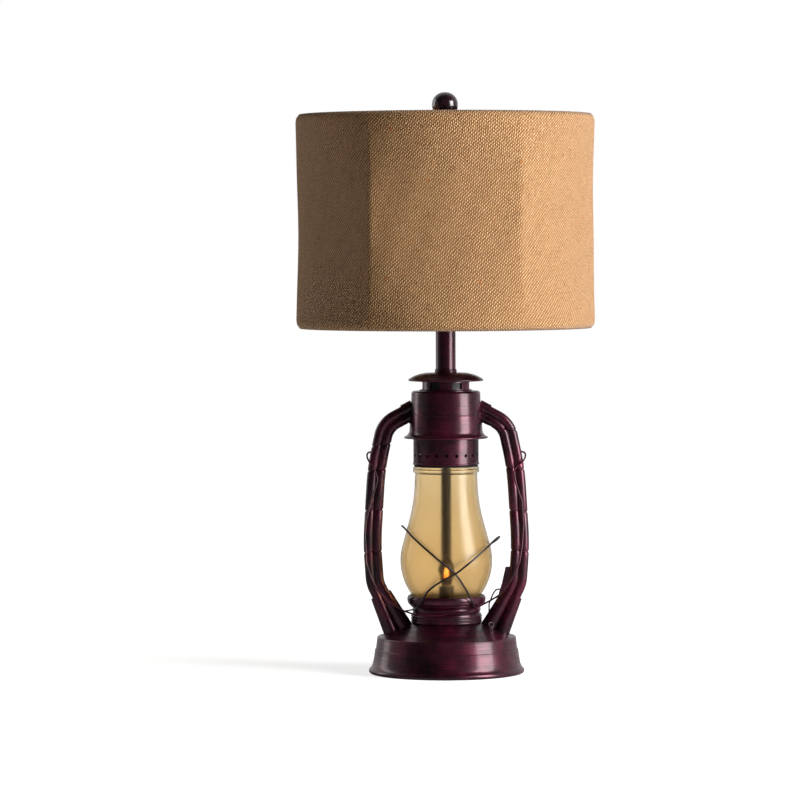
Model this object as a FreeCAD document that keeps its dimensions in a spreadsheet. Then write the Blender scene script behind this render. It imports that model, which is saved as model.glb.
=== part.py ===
import FreeCAD, Part
import Sketcher
import math
import os

# A table lamp built as a hurricane lantern. Millimetres, +Z up, front towards -Y.
# The origin is the centre of the base, on the surface that the lamp stands on.

doc = FreeCAD.newDocument("LanternTableLamp")
sheet = doc.addObject("Spreadsheet::Sheet", "Sizes")
V = FreeCAD.Vector
UP = V(0, 0, 1)
ALONG_X = V(1, 0, 0)


# ---------------------------------------------------------------- driving sizes
class Size:
    """A length or angle: its number, and the same thing as the sheet writes it."""

    def __init__(self, value, text):
        self.value = float(value)
        self.text = text

    def __add__(self, other):
        other = as_size(other)
        return Size(self.value + other.value, f"({self.text} + {other.text})")

    def __sub__(self, other):
        other = as_size(other)
        return Size(self.value - other.value, f"({self.text} - {other.text})")

    def __mul__(self, other):
        other = as_size(other)
        return Size(self.value * other.value, f"({self.text} * {other.text})")

    def __truediv__(self, other):
        other = as_size(other)
        return Size(self.value / other.value, f"({self.text} / {other.text})")

    def __neg__(self):
        return Size(-self.value, f"(0 - {self.text})")

    __radd__ = __add__
    __rmul__ = __mul__

    def __rsub__(self, other):
        return as_size(other) - self


def as_size(number):
    if isinstance(number, Size):
        return number
    return Size(number, repr(float(number)))


sheet_row = 0


def size(name, value):
    """One driving size: a named cell of the sheet."""
    global sheet_row
    sheet_row += 1
    sheet.set(f"A{sheet_row}", name)
    sheet.set(f"B{sheet_row}", str(value))
    sheet.setAlias(f"B{sheet_row}", name)
    return Size(value, f"Sizes.{name}")


# sheet metal, wire and clearances
sheet_wall = size("sheet_wall", 1.2)
run_gap = size("run_gap", 0.06)          # a part that turns or slides in another
body_gap = size("body_gap", 0.35)        # between parts that move past each other
fit_gap = size("fit_gap", 0.05)          # between fixed parts that fit together

# base: a round stepped shell with a shallow cone on top
base_radius = size("base_radius", 95.5)
rim_height = size("rim_height", 5.0)
skirt_radius = size("skirt_radius", 90.6)
skirt_height = size("skirt_height", 12.2)
step_radius = size("step_radius", 88.0)
step_height = size("step_height", 29.6)
band_radius = size("band_radius", 86.9)
shoulder_radius = size("shoulder_radius", 85.2)
shoulder_height = size("shoulder_height", 44.0)
cone_rise = size("cone_rise", 17.5)
plate_height = size("plate_height", 1.6)   # felt under the base plate
plate_recess = size("plate_recess", 9.5)
plate_recess_radius = size("plate_recess_radius", 24.0)
ballast_height = size("ballast_height", 11.0)
ballast_radius = size("ballast_radius", 78.0)
ballast_bore = size("ballast_bore", 30.0)
inlet_height = size("inlet_height", 20.0)
inlet_bore = size("inlet_bore", 3.7)
inlet_body = size("inlet_body", 5.4)
inlet_flange = size("inlet_flange", 7.2)

# pipe through the whole lamp
pipe_radius = size("pipe_radius", 6.1)
pipe_bore = size("pipe_bore", 4.2)
nut_flats = size("nut_flats", 17.0)
nut_height = size("nut_height", 5.0)

# burner collar and the cup that holds the globe
collar_radius = size("collar_radius", 42.9)
collar_height = size("collar_height", 19.4)
collar_groove = size("collar_groove", 2.2)
collar_rib = size("collar_rib", 0.8)
cup_radius = size("cup_radius", 47.8)
cup_height = size("cup_height", 14.0)
cup_floor = size("cup_floor", 9.4)

# globe
glass_wall = size("glass_wall", 2.2)
globe_height = size("globe_height", 163.2)
globe_radius = size("globe_radius", 56.3)
globe_belly = size("globe_belly", 48.0)
globe_foot = size("globe_foot", 37.9)
globe_neck = size("globe_neck", 38.4)
globe_lip = size("globe_lip", 40.9)

# chimney: perforated band, drum, vent collar, cap
seat_gap = size("seat_gap", 2.4)
hood_radius = size("hood_radius", 40.0)
hood_height = size("hood_height", 41.5)
hole_radius = size("hole_radius", 2.0)
hole_height = size("hole_height", 11.9)
hole_count = 20
drum_drop = size("drum_drop", 32.2)        # band bottom to the flare's edge
drum_height = size("drum_height", 57.8)
drum_radius = size("drum_radius", 44.7)
drum_top_radius = size("drum_top_radius", 41.6)
flare_radius = size("flare_radius", 51.4)
flare_height = size("flare_height", 10.5)
vent_radius = size("vent_radius", 29.4)
vent_height = size("vent_height", 19.3)
vent_window = size("vent_window", 84.0)
window_height = size("window_height", 8.2)
window_sill = size("window_sill", 2.6)
flue_radius = size("flue_radius", 26.9)
cap_radius = size("cap_radius", 45.9)
cap_rise = size("cap_rise", 9.4)
cap_flat = size("cap_flat", 27.6)
cap_lift = size("cap_lift", 12.8)         # drum top to the cap's brim

# neck, harp and socket
ferrule_radius = size("ferrule_radius", 13.2)
ferrule_height = size("ferrule_height", 4.6)
neck_radius = size("neck_radius", 12.2)
neck_height = size("neck_height", 62.0)
neck_cap_height = size("neck_cap_height", 4.0)
saddle_width = size("saddle_width", 17.0)
saddle_reach = size("saddle_reach", 29.0)
saddle_plate = size("saddle_plate", 2.0)
saddle_prong = size("saddle_prong", 15.0)
harp_wire = size("harp_wire", 2.2)
harp_height = size("harp_height", 229.6)
harp_width = size("harp_width", 57.0)
harp_straight = size("harp_straight", 28.0)
sleeve_height = size("sleeve_height", 14.0)
sleeve_wall = size("sleeve_wall", 1.0)
stud_radius = size("stud_radius", 3.1)
stud_height = size("stud_height", 15.0)
socket_radius = size("socket_radius", 17.6)
socket_height = size("socket_height", 44.0)
socket_cap_height = size("socket_cap_height", 17.0)
knob_radius = size("knob_radius", 8.0)
knob_length = size("knob_length", 12.0)
knob_reach = size("knob_reach", 14.0)
knob_stem = size("knob_stem", 2.4)
bulb_radius = size("bulb_radius", 30.0)
bulb_length = size("bulb_length", 84.0)
bulb_neck = size("bulb_neck", 13.2)

# shade
shade_radius = size("shade_radius", 182.5)
shade_height = size("shade_height", 261.4)
shade_cloth = size("shade_cloth", 1.5)
shade_sag = size("shade_sag", 0.82)        # how flat the cloth pulls half way up
shade_waist = size("shade_waist", 2.6)     # how far the upright wires bow in
shade_over_fitter = size("shade_over_fitter", 16.4)
frame_wire = size("frame_wire", 1.5)
hem = size("hem", 2.4)
rib_count = 6
spider_plate = size("spider_plate", 2.0)
spider_hub = size("spider_hub", 12.5)
finial_ball = size("finial_ball", 15.9)
finial_neck = size("finial_neck", 7.0)
finial_lift = size("finial_lift", 27.4)    # hub top to the ball's centre

# side tubes
lobe_radius = size("lobe_radius", 6.2)
tube_reach = size("tube_reach", 91.0)      # axis to the widest place of a tube's middle
foot_top_grow = size("foot_top_grow", 1.5)
foot_bottom_grow = size("foot_bottom_grow", 3.9)
tube_flange_grow = size("tube_flange_grow", 1.6)
tube_flange_length = size("tube_flange_length", 4.5)

# wires
bail_wire = size("bail_wire", 1.1)
bail_drop = size("bail_drop", 202.6)
guard_wire = size("guard_wire", 1.2)
lever_wire = size("lever_wire", 0.9)

# night light in the globe
night_offset = size("night_offset", 18.6)
night_radius = size("night_radius", 10.3)
night_length = size("night_length", 36.6)
night_socket = size("night_socket", 9.2)
night_socket_height = size("night_socket_height", 16.5)

doc.recompute()

# heights, from the base up
cone_top = shoulder_height + cone_rise
cup_bottom = cone_top + collar_height
globe_bottom = cup_bottom + cup_floor
globe_top = globe_bottom + globe_height
hood_bottom = globe_top + seat_gap
flare_bottom = hood_bottom + drum_drop
drum_top = flare_bottom + drum_height
cap_brim = drum_top + cap_lift
cap_top = cap_brim + cap_rise
neck_top = cap_top + neck_height
saddle_bottom = neck_top + neck_cap_height
socket_bottom = saddle_bottom + saddle_plate
socket_shell_bottom = socket_bottom + socket_cap_height
socket_top = socket_shell_bottom + socket_height
harp_bottom = saddle_bottom + saddle_prong
harp_top = saddle_bottom + harp_height
fitter_bottom = harp_top + harp_wire + run_gap
fitter_top = fitter_bottom + spider_plate
shade_top = fitter_top + shade_over_fitter
shade_bottom = shade_top - shade_height
cone_foot_radius = shoulder_radius - 2.2


# ---------------------------------------------------------------- making shapes
def bind(thing, name, value):
    """Set a property, tied to the sheet where the value is a Size."""
    if isinstance(value, Size):
        thing.setExpression(name, value.text)
    else:
        setattr(thing, name, value)


pieces = []


def new_body(label):
    body = doc.addObject("PartDesign::Body", label)
    body.Label = label
    pieces.append(body)
    return body


def sketch_on(body, role, name):
    """A sketch on one of the body's own origin planes."""
    sketch = body.newObject("Sketcher::SketchObject", name)
    plane = [item for item in body.Origin.OriginFeatures if item.Role == role][0]
    sketch.AttachmentSupport = [(plane, "")]
    sketch.MapMode = "FlatFace"
    return sketch


def arc_radius(start, end, bulge):
    """The radius of an arc that stands bulge off the line from start to end."""
    across = end[0] - start[0]
    along = end[1] - start[1]
    return (across * across + along * along) / (bulge * 8.0) + bulge / 2.0


def outline(sketch, corners):
    """Draw a closed outline. A corner is (x, z), or (x, z, bulge) where the line to the
    next corner is an arc that stands out by bulge, to the right of the way it is drawn."""
    count = len(corners)
    spots = [(as_size(c[0]), as_size(c[1])) for c in corners]
    ends = []
    for i in range(count):
        start, end = spots[i], spots[(i + 1) % count]
        a = V(start[0].value, start[1].value, 0)
        b = V(end[0].value, end[1].value, 0)
        if len(corners[i]) == 2:
            geo = sketch.addGeometry(Part.LineSegment(a, b), False)
            ends.append((geo, 1, 2, None))
            continue
        bulge = as_size(corners[i][2])
        radius = arc_radius(start, end, bulge)
        way = (b - a).normalize()
        centre = (a + b) * 0.5 + V(-way.y, way.x, 0) * (radius.value - bulge.value)
        from_a = math.atan2(a.y - centre.y, a.x - centre.x)
        from_b = math.atan2(b.y - centre.y, b.x - centre.x)
        round_it = Part.Circle(centre, UP, abs(radius.value))
        if bulge.value > 0:
            arc = Part.ArcOfCircle(round_it, from_a, from_b)
            ends.append((sketch.addGeometry(arc, False), 1, 2, radius))
        else:
            arc = Part.ArcOfCircle(round_it, from_b, from_a)
            ends.append((sketch.addGeometry(arc, False), 2, 1, -radius))
    for i in range(count):
        geo, first, last, radius = ends[i]
        following = ends[(i + 1) % count]
        sketch.addConstraint(Sketcher.Constraint(
            "Coincident", geo, last, following[0], following[1]))
        pin_point(sketch, geo, first, spots[i])
        if radius is not None:
            row = sketch.addConstraint(Sketcher.Constraint("Radius", geo, radius.value))
            sketch.setExpression(f"Constraints[{row}]", radius.text)


def pin_point(sketch, geo, end, spot):
    """Hold a point of the outline at its two distances from the origin."""
    for kind, value, axis in (("DistanceX", spot[0], -2), ("DistanceY", spot[1], -1)):
        if value.value == 0:
            sketch.addConstraint(Sketcher.Constraint("PointOnObject", geo, end, axis))
            continue
        row = sketch.addConstraint(Sketcher.Constraint(
            kind, -1, 1, geo, end, value.value))
        sketch.setExpression(f"Constraints[{row}]", value.text)


def turned(label, corners):
    """A piece turned about the Z axis of its own frame, from its outline."""
    body = new_body(label)
    sketch = sketch_on(body, "XZ_Plane", label + "_outline")
    outline(sketch, corners)
    turn = body.newObject("PartDesign::Revolution", label + "_turned")
    turn.Profile = sketch
    turn.ReferenceAxis = (sketch, ["V_Axis"])
    turn.Angle = 360
    sketch.Visibility = False
    return body


def ring(label, inner, outer, bottom, top):
    """A plain ring or sleeve with square edges."""
    return turned(label, [(inner, bottom), (outer, bottom), (outer, top), (inner, top)])


def cut_across(body, role, name, shapes, length, both=True, reverse=False):
    """Cut outlines or circles through a body, square to one of its origin planes."""
    doc.recompute()
    before = body.Shape.Volume
    sketch = sketch_on(body, role, name + "_outline")
    for shape in shapes:
        if len(shape) == 3 and not isinstance(shape[0], tuple):
            circle(sketch, *shape)
        else:
            outline(sketch, shape)
    pocket = body.newObject("PartDesign::Pocket", name)
    pocket.Profile = sketch
    bind(pocket, "Length", length)
    pocket.Midplane = both
    pocket.Reversed = reverse
    sketch.Visibility = False
    body.Tip = pocket
    doc.recompute()
    if not body.Shape.Volume < before - 0.01:
        raise ValueError(f"{name} cuts nothing")
    return pocket


def circle(sketch, x, z, radius):
    x, z, radius = as_size(x), as_size(z), as_size(radius)
    geo = sketch.addGeometry(
        Part.Circle(V(x.value, z.value, 0), UP, radius.value), False)
    pin_point(sketch, geo, 3, (x, z))
    row = sketch.addConstraint(Sketcher.Constraint("Radius", geo, radius.value))
    sketch.setExpression(f"Constraints[{row}]", radius.text)


def go_round(body, feature, name, count):
    """Repeat a feature round the body's Z axis."""
    pattern = body.newObject("PartDesign::PolarPattern", name)
    pattern.Originals = [feature]
    axis = [item for item in body.Origin.OriginFeatures if item.Role == "Z_Axis"][0]
    pattern.Axis = (axis, [""])
    pattern.Angle = 360
    pattern.Occurrences = count
    body.Tip = pattern
    doc.recompute()
    return pattern


def whole(label, shape):
    """A piece whose shape is made here from the sizes."""
    piece = doc.addObject("Part::Feature", label)
    piece.Label = label
    piece.Shape = shape
    pieces.append(piece)
    return piece


def bent_path(points, bend):
    """A wire through points, its corners rounded to one radius or to one each."""
    points = [V(*p) for p in points]
    radii = bend if isinstance(bend, tuple) else (bend,) * (len(points) - 2)
    edges = []
    last = points[0]
    for before, corner, after, radius in zip(points, points[1:], points[2:], radii):
        back = (before - corner).normalize()
        ahead = (after - corner).normalize()
        half_turn = (math.pi - back.getAngle(ahead)) / 2.0
        shorter = min((before - corner).Length, (after - corner).Length)
        trim = min(radius * math.tan(half_turn), 0.45 * shorter)
        radius = trim / math.tan(half_turn)
        start = corner + back * trim
        end = corner + ahead * trim
        rise = radius / math.cos(half_turn) - radius
        middle = corner + (back + ahead).normalize() * rise
        edges.append(Part.LineSegment(last, start).toShape())
        edges.append(Part.Arc(start, middle, end).toShape())
        last = end
    edges.append(Part.LineSegment(last, points[-1]).toShape())
    return Part.Wire(edges)


def rod(points, radius, bend):
    """A round wire along a bent path."""
    path = bent_path(points, bend)
    start = V(*points[0])
    way = (V(*points[1]) - start).normalize()
    section = Part.Wire([Part.Circle(start, way, radius).toShape()])
    return path.makePipeShell([section], True, False)


# ---------------------------------------------------------------- base
# A stamped shell: rolled rim, curved skirt, two bands with a step, rounded shoulder, cone.
rim_inner = base_radius - 3.4
turned("base_shell", [
    (rim_inner, 0.8, 0.3),
    (base_radius - 1.8, 0, 1.1),
    (base_radius - 0.6, rim_height, -0.7),
    (skirt_radius, skirt_height, -0.3),
    (step_radius, step_height - 0.6),
    (step_radius - 0.5, step_height),
    (band_radius, step_height),
    (shoulder_radius, shoulder_height - 1.2, 0.9),
    (cone_foot_radius, shoulder_height + 0.9, -0.5),
    (collar_radius - 1.5, cone_top),
    (collar_radius - 6.0, cone_top),
    (collar_radius - 6.0, cone_top - sheet_wall),
    (collar_radius - 2.0, cone_top - sheet_wall),
    (cone_foot_radius - 0.6, shoulder_height - sheet_wall),
    (band_radius - sheet_wall - 1.6, shoulder_height - sheet_wall),
    (band_radius - sheet_wall - 0.6, step_height - sheet_wall),
    (step_radius - sheet_wall, step_height - sheet_wall),
    (skirt_radius - sheet_wall, skirt_height + 1.0),
    (rim_inner, rim_height + 1.6),
])
base_shell = doc.getObject("base_shell")
cut_across(base_shell, "XZ_Plane", "inlet_hole",
           [(0, inlet_height, inlet_body + fit_gap)], base_radius, False, False)

# The rubber bushing that lines the hole at the back of the base. Its flange is moulded
# to the slope of the skirt, so the shell's shape is cut out of a plain blank.
inlet_face = skirt_radius - 4.0
blank = turned("bushing_blank", [
    (inlet_bore, 0),
    (inlet_body, 0),
    (inlet_body, 3.0),
    (inlet_flange, 3.0),
    (inlet_flange, 6.0, 0.3),
    (inlet_bore + 0.8, 7.0, 0.2),
    (inlet_bore, 6.4),
])
blank.Placement.Rotation = FreeCAD.Rotation(ALONG_X, -90)
blank.setExpression("Placement.Base.y", inlet_face.text)
blank.setExpression("Placement.Base.z", inlet_height.text)
pieces.remove(blank)
bushing = doc.addObject("Part::Cut", "cord_bushing")
bushing.Label = "cord_bushing"
bushing.Base = blank
bushing.Tool = base_shell
pieces.append(bushing)

# The felt, the steel plate over it with its recess for the nut, and the iron weight.
plate_edge = rim_inner - fit_gap
ring("felt_pad", plate_recess_radius + 3.0, plate_edge - 0.5, 0, plate_height)
plate_top = plate_height + sheet_wall
turned("base_plate", [
    (plate_recess_radius + 2.0, plate_height),
    (plate_edge, plate_height),
    (plate_edge, plate_top),
    (plate_recess_radius + 2.5, plate_top),
    (plate_recess_radius, plate_recess + sheet_wall),
    (pipe_radius + fit_gap, plate_recess + sheet_wall),
    (pipe_radius + fit_gap, plate_recess),
    (plate_recess_radius - sheet_wall, plate_recess),
])
turned("ballast", [
    (ballast_bore, plate_top),
    (ballast_radius, plate_top),
    (ballast_radius, plate_top + ballast_height - 3.0, 0.8),
    (ballast_radius - 3.0, plate_top + ballast_height),
    (ballast_bore, plate_top + ballast_height),
])

# The threaded pipe that the whole lamp is stacked on, and the nut under its lower end.
pipe_bottom = plate_recess - nut_height - 1.0
pipe_top = socket_bottom + 9.0
ring("centre_pipe", pipe_bore, pipe_radius, pipe_bottom, pipe_top)


def hexagon_nut(label, flats, bore, bottom, height):
    body = new_body(label)
    sketch = sketch_on(body, "XY_Plane", label + "_outline")
    corner = flats / math.sqrt(3.0)
    ring_of_six = []
    for i in range(6):
        angle = math.radians(60 * i)
        ring_of_six.append((corner * math.cos(angle), corner * math.sin(angle)))
    outline(sketch, [tuple(round_small(c) for c in spot) for spot in ring_of_six])
    circle(sketch, 0, 0, bore)
    pad = body.newObject("PartDesign::Pad", label + "_pad")
    pad.Profile = sketch
    bind(pad, "Length", height)
    sketch.Visibility = False
    body.setExpression("Placement.Base.z", bottom.text)
    return body


def round_small(value):
    """A coordinate that only misses zero by rounding is zero."""
    return 0 if abs(value.value) < 1e-9 else value


hexagon_nut("pipe_nut", nut_flats, pipe_radius + fit_gap, plate_recess - nut_height,
            nut_height)

# ---------------------------------------------------------------- burner and cup
# The burner collar: three pressed ribs, a groove, and a rounded band under the cup.
rib_pitch = collar_height / 5.6
rib_profile = []
for i in range(3):
    rib_profile.append((collar_radius, cone_top + rib_pitch * (i + 0.15), collar_rib))
    rib_profile.append((collar_radius, cone_top + rib_pitch * (i + 0.85)))
groove_bottom = cone_top + rib_pitch * 3.3
groove_top = cone_top + rib_pitch * 4.1
turned("burner_collar", [
    (collar_radius - 7.0, cone_top),
    (collar_radius - 0.6, cone_top),
] + rib_profile + [
    (collar_radius - 0.4, groove_bottom),
    (collar_radius - collar_groove, (groove_bottom + groove_top) / 2.0),
    (collar_radius - 1.4, groove_top, 0.7),
    (collar_radius - 1.8, cup_bottom),
    (collar_radius - 7.0, cup_bottom),
    (collar_radius - 7.0, cup_bottom - sheet_wall),
    (collar_radius - 4.0, cup_bottom - sheet_wall),
    (collar_radius - 4.0, cone_top + sheet_wall),
    (collar_radius - 7.0, cone_top + sheet_wall),
])

# The cup: a dished bowl with a rolled rim; its floor carries the globe and the pipe.
cup_top = cup_bottom + cup_height
turned("gallery_cup", [
    (pipe_radius + fit_gap, globe_bottom - 2.0),
    (collar_radius - 7.0, globe_bottom - 2.0),
    (collar_radius - 7.0, cup_bottom),
    (collar_radius - 1.6, cup_bottom, 0.5),
    (collar_radius + 1.4, cup_bottom + 2.2, 0.4),
    (collar_radius + 2.2, cup_bottom + 3.6, 0.9),
    (cup_radius, cup_bottom + cup_height * 0.55, 0.7),
    (cup_radius - 0.8, cup_top, 0.6),
    (cup_radius - 2.4, cup_top - 0.6, -0.6),
    (globe_foot + 4.4, globe_bottom + 0.6, -0.3),
    (globe_foot + 3.0, globe_bottom),
    (pipe_radius + fit_gap, globe_bottom),
])

# Four wire eyes under the cup's rim, where the guard wires are hooked.
eye_ring = guard_wire.value + 1.2
eye_wire = 0.8
eye_reach = cup_radius.value + 0.8
eye_level = cup_bottom.value + 2.4
eye_angles = (-45.0, -135.0, 45.0, 135.0)
doc.recompute()
cup_form = doc.getObject("gallery_cup").Shape
eyes = []
for angle in eye_angles:
    away = V(math.cos(math.radians(angle)), math.sin(math.radians(angle)), 0)
    spot = away * eye_reach + UP * eye_level
    across = UP.cross(away)
    eyes.append(Part.makeTorus(eye_ring, eye_wire, spot, across).cut(cup_form))
whole("guard_eyelets", Part.makeCompound(eyes))


# ---------------------------------------------------------------- globe and night light
# The amber glass: rounded foot, belly, long tapering shoulder, neck and a double lip.
belly_z = globe_bottom + globe_belly
taper_foot = belly_z + 15.0
taper_top = globe_bottom + globe_height * 0.602
neck_start = globe_bottom + globe_height * 0.9
lip_bottom = globe_top - 7.0
lip_middle = globe_top - 3.4
globe_outside = [
    (globe_foot, globe_bottom, 4.9),
    (globe_radius, belly_z, 0.4),
    (globe_radius - 1.6, taper_foot),
    (globe_neck + 6.9, taper_top, -1.6),
    (globe_neck, neck_start),
    (globe_neck - 0.4, lip_bottom - 2.0, -0.5),
    (globe_lip - 0.7, lip_bottom, 0.5),
    (globe_lip - 0.7, lip_middle - 0.4, -0.3),
    (globe_lip - 0.7, lip_middle + 0.4, 0.7),
    (globe_lip - 1.2, globe_top - 0.5, 0.5),
]
globe_inside = [
    (globe_neck - glass_wall, globe_top - 0.5),
    (globe_neck - glass_wall, neck_start, 1.6),
    (globe_neck + 6.9 - glass_wall, taper_top),
    (globe_radius - 1.6 - glass_wall, taper_foot, -0.4),
    (globe_radius - glass_wall, belly_z, -4.6),
    (globe_foot - glass_wall, globe_bottom),
]
turned("glass_globe", globe_outside + globe_inside)

# The night light: socket on a strap that is held by the pipe, screw base and glass.
strap_top = globe_bottom + 1.6
strap = Part.makeBox(18, night_offset.value + 9, 1.6)
strap.translate(V(-9, -night_offset.value - 9, globe_bottom.value))
strap = strap.fuse(Part.makeCylinder(13, 1.6, V(0, 0, globe_bottom.value)))
strap = strap.cut(Part.makeCylinder(
    pipe_radius.value + fit_gap.value, 4, V(0, 0, globe_bottom.value - 1)))
whole("night_light_bracket", strap.removeSplitter())


def at_night_light(body):
    body.setExpression("Placement.Base.y", (-night_offset).text)
    return body


night_socket_top = strap_top + night_socket_height
at_night_light(turned("night_light_socket", [
    (0, strap_top),
    (night_socket, strap_top),
    (night_socket, night_socket_top - 1.5, 0.2),
    (night_socket - 0.8, night_socket_top),
    (night_socket - 2.4, night_socket_top),
    (night_socket - 2.4, strap_top + 3.0),
    (0, strap_top + 3.0),
]))
night_base = night_socket - 2.4 - fit_gap
at_night_light(turned("night_light_base", [
    (0, strap_top + 3.2),
    (night_base - 2.6, strap_top + 3.2),
    (night_base, strap_top + 5.2),
    (night_base, night_socket_top + 0.8),
    (0, night_socket_top + 0.8),
]))
night_glass_foot = night_socket_top + 0.8
at_night_light(turned("night_light_bulb", [
    (0, night_glass_foot),
    (night_base - 0.6, night_glass_foot, -0.4),
    (night_radius, night_glass_foot + night_length * 0.42, 1.9),
    (2.2, night_glass_foot + night_length - 0.7),
    (0.7, night_glass_foot + night_length),
    (0, night_glass_foot + night_length),
]))

# ---------------------------------------------------------------- chimney
# A pressed disc sits on the glass and holds the globe's top on the pipe.
turned("globe_plate", [
    (pipe_radius + fit_gap, globe_top + seat_gap),
    (hood_radius - sheet_wall - 6.0, globe_top + seat_gap),
    (globe_neck - glass_wall + 0.4, globe_top),
    (hood_radius - 0.8, globe_top),
    (hood_radius - 0.8, globe_top + sheet_wall),
    (hood_radius - sheet_wall - 2.0, globe_top + sheet_wall),
    (hood_radius - sheet_wall - 5.0, globe_top + seat_gap + sheet_wall),
    (pipe_radius + fit_gap, globe_top + seat_gap + sheet_wall),
])

# The perforated band: a straight tube with a small lip and one row of round holes.
hood_top = hood_bottom + hood_height
drum_inner = drum_radius - sheet_wall
perforated = turned("perforated_band", [
    (hood_radius - sheet_wall, hood_bottom),
    (hood_radius + 0.6, hood_bottom, 0.3),
    (hood_radius + 0.6, hood_bottom + 1.9, 0.2),
    (hood_radius, hood_bottom + 2.6),
    (hood_radius, hood_top - sheet_wall),
    (drum_inner - fit_gap, hood_top - sheet_wall),
    (drum_inner - fit_gap, hood_top),
    (hood_radius - sheet_wall, hood_top),
])
first_hole = cut_across(perforated, "XZ_Plane", "vent_hole",
                        [(0, hood_bottom + hole_height, hole_radius)],
                        hood_radius * 1.2, False, True)
go_round(perforated, first_hole, "vent_holes", hole_count)
hole_turn = 1.1
perforated.Placement.Rotation = FreeCAD.Rotation(UP, hole_turn)

# The drum: turned-in top, a bead half way down, and a flared skirt over the band.
bead_z = drum_top - 28.8
flare_start = flare_bottom + flare_height
turned("chimney_drum", [
    (flare_radius - 1.6, flare_bottom, 0.3),
    (flare_radius - 0.2, flare_bottom + 0.5, 0.4),
    (flare_radius - 0.6, flare_bottom + 2.1, -1.7),
    (drum_radius, flare_start),
    (drum_radius - 1.1, bead_z - 0.9, 0.35),
    (drum_radius - 1.2, bead_z + 0.6),
    (drum_radius - 1.7, bead_z + 0.7),
    (drum_top_radius + 0.6, drum_top - 4.0, 0.7),
    (drum_top_radius - 1.4, drum_top),
    (flue_radius - 6.0, drum_top),
    (flue_radius - 6.0, drum_top - sheet_wall),
    (drum_top_radius - 1.6, drum_top - sheet_wall),
    (drum_top_radius - 0.6, drum_top - 4.0),
    (drum_radius - 1.7 - sheet_wall, bead_z + 0.5),
    (drum_inner, flare_start, 1.5),
])

# The vent collar: bead ring, sill, three windows, with the black flue inside it.
vent_top = drum_top + vent_height
vent = turned("vent_collar", [
    (vent_radius - sheet_wall, drum_top),
    (vent_radius + 3.0, drum_top),
    (vent_radius + 3.0, drum_top + 0.8, 0.5),
    (vent_radius + 1.2, drum_top + 1.8),
    (vent_radius, drum_top + 2.0),
    (vent_radius, vent_top),
    (vent_radius - sheet_wall, vent_top),
])
doc.recompute()
window_low = drum_top + window_sill
window_sketch = sketch_on(vent, "XY_Plane", "vent_window_outline")
window_sketch.AttachmentOffset.Base = V(0, 0, window_low.value)
window_sketch.setExpression("AttachmentOffset.Base.z", window_low.text)
window_edge = math.radians(vent_window.value / 2.0)
reach = vent_radius * 1.3
outline(window_sketch, [
    (0, 0),
    (reach * -math.sin(window_edge), reach * -math.cos(window_edge)),
    (reach * math.sin(window_edge), reach * -math.cos(window_edge)),
])
window = vent.newObject("PartDesign::Pocket", "vent_window")
window.Profile = window_sketch
bind(window, "Length", window_height)
window.Reversed = True
window_sketch.Visibility = False
vent.Tip = window
before_windows = vent.Shape.Volume
doc.recompute()
if not vent.Shape.Volume < before_windows - 1.0:
    raise ValueError("the vent window cuts nothing")
go_round(vent, window, "vent_windows", 3)

cap_inside = cap_top - sheet_wall
ring("inner_flue", flue_radius - 1.0, flue_radius, drum_top, cap_inside)

# The cap: a shallow domed hood, open underneath, with a rolled brim.
turned("chimney_cap", [
    (cap_radius - 2.6, cap_brim - 0.2),
    (cap_radius - 1.2, cap_brim - 0.4, 0.9),
    (cap_radius - 0.6, cap_brim + 1.9, 1.1),
    (cap_flat, cap_top - 0.4, 0.15),
    (cap_flat - 3.0, cap_top),
    (pipe_radius + fit_gap, cap_top),
    (pipe_radius + fit_gap, cap_inside),
    (cap_flat - 0.6, cap_inside, -0.9),
    (cap_radius - 3.0, cap_brim + 1.0),
])

# ---------------------------------------------------------------- neck
turned("neck_ferrule", [
    (neck_radius + fit_gap, cap_top),
    (ferrule_radius, cap_top, 0.35),
    (ferrule_radius, cap_top + ferrule_height * 0.55, 0.3),
    (ferrule_radius - 0.3, cap_top + ferrule_height),
    (neck_radius + fit_gap, cap_top + ferrule_height),
])
ring("neck_tube", neck_radius - sheet_wall, neck_radius, cap_top, neck_top)
turned("neck_cap", [
    (pipe_radius + fit_gap, neck_top),
    (neck_radius + 1.6, neck_top, 0.5),
    (neck_radius - 1.0, saddle_bottom),
    (pipe_radius + fit_gap, saddle_bottom),
])

# ---------------------------------------------------------------- harp
# The saddle: a strip with two upright prongs that the harp's legs stand on.
prong_half = 1.1
saddle_top = saddle_bottom + saddle_plate
saddle = new_body("harp_saddle")
saddle_sketch = sketch_on(saddle, "XZ_Plane", "saddle_outline")
outline(saddle_sketch, [
    (-saddle_reach - prong_half, saddle_bottom),
    (saddle_reach + prong_half, saddle_bottom),
    (saddle_reach + prong_half, saddle_bottom + 6.0),
    (saddle_reach - prong_half, saddle_bottom + 6.0),
    (saddle_reach - prong_half, saddle_top),
    (-saddle_reach + prong_half, saddle_top),
    (-saddle_reach + prong_half, saddle_bottom + 6.0),
    (-saddle_reach - prong_half, saddle_bottom + 6.0),
])
saddle_pad = saddle.newObject("PartDesign::Pad", "saddle_strip")
saddle_pad.Profile = saddle_sketch
bind(saddle_pad, "Length", saddle_width)
saddle_pad.Midplane = True
saddle_sketch.Visibility = False
doc.recompute()
prong_sketch = sketch_on(saddle, "XY_Plane", "prong_outline")
for side in (-1, 1):
    middle = saddle_reach * side
    outline(prong_sketch, [
        (middle - prong_half, -1.6), (middle + prong_half, -1.6),
        (middle + prong_half, 1.6), (middle - prong_half, 1.6),
    ])
prong_sketch.setExpression("AttachmentOffset.Base.z", saddle_top.text)
prong_pad = saddle.newObject("PartDesign::Pad", "saddle_prongs")
prong_pad.Profile = prong_sketch
bind(prong_pad, "Length", saddle_prong - saddle_plate)
prong_sketch.Visibility = False
saddle.Tip = prong_pad
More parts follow.
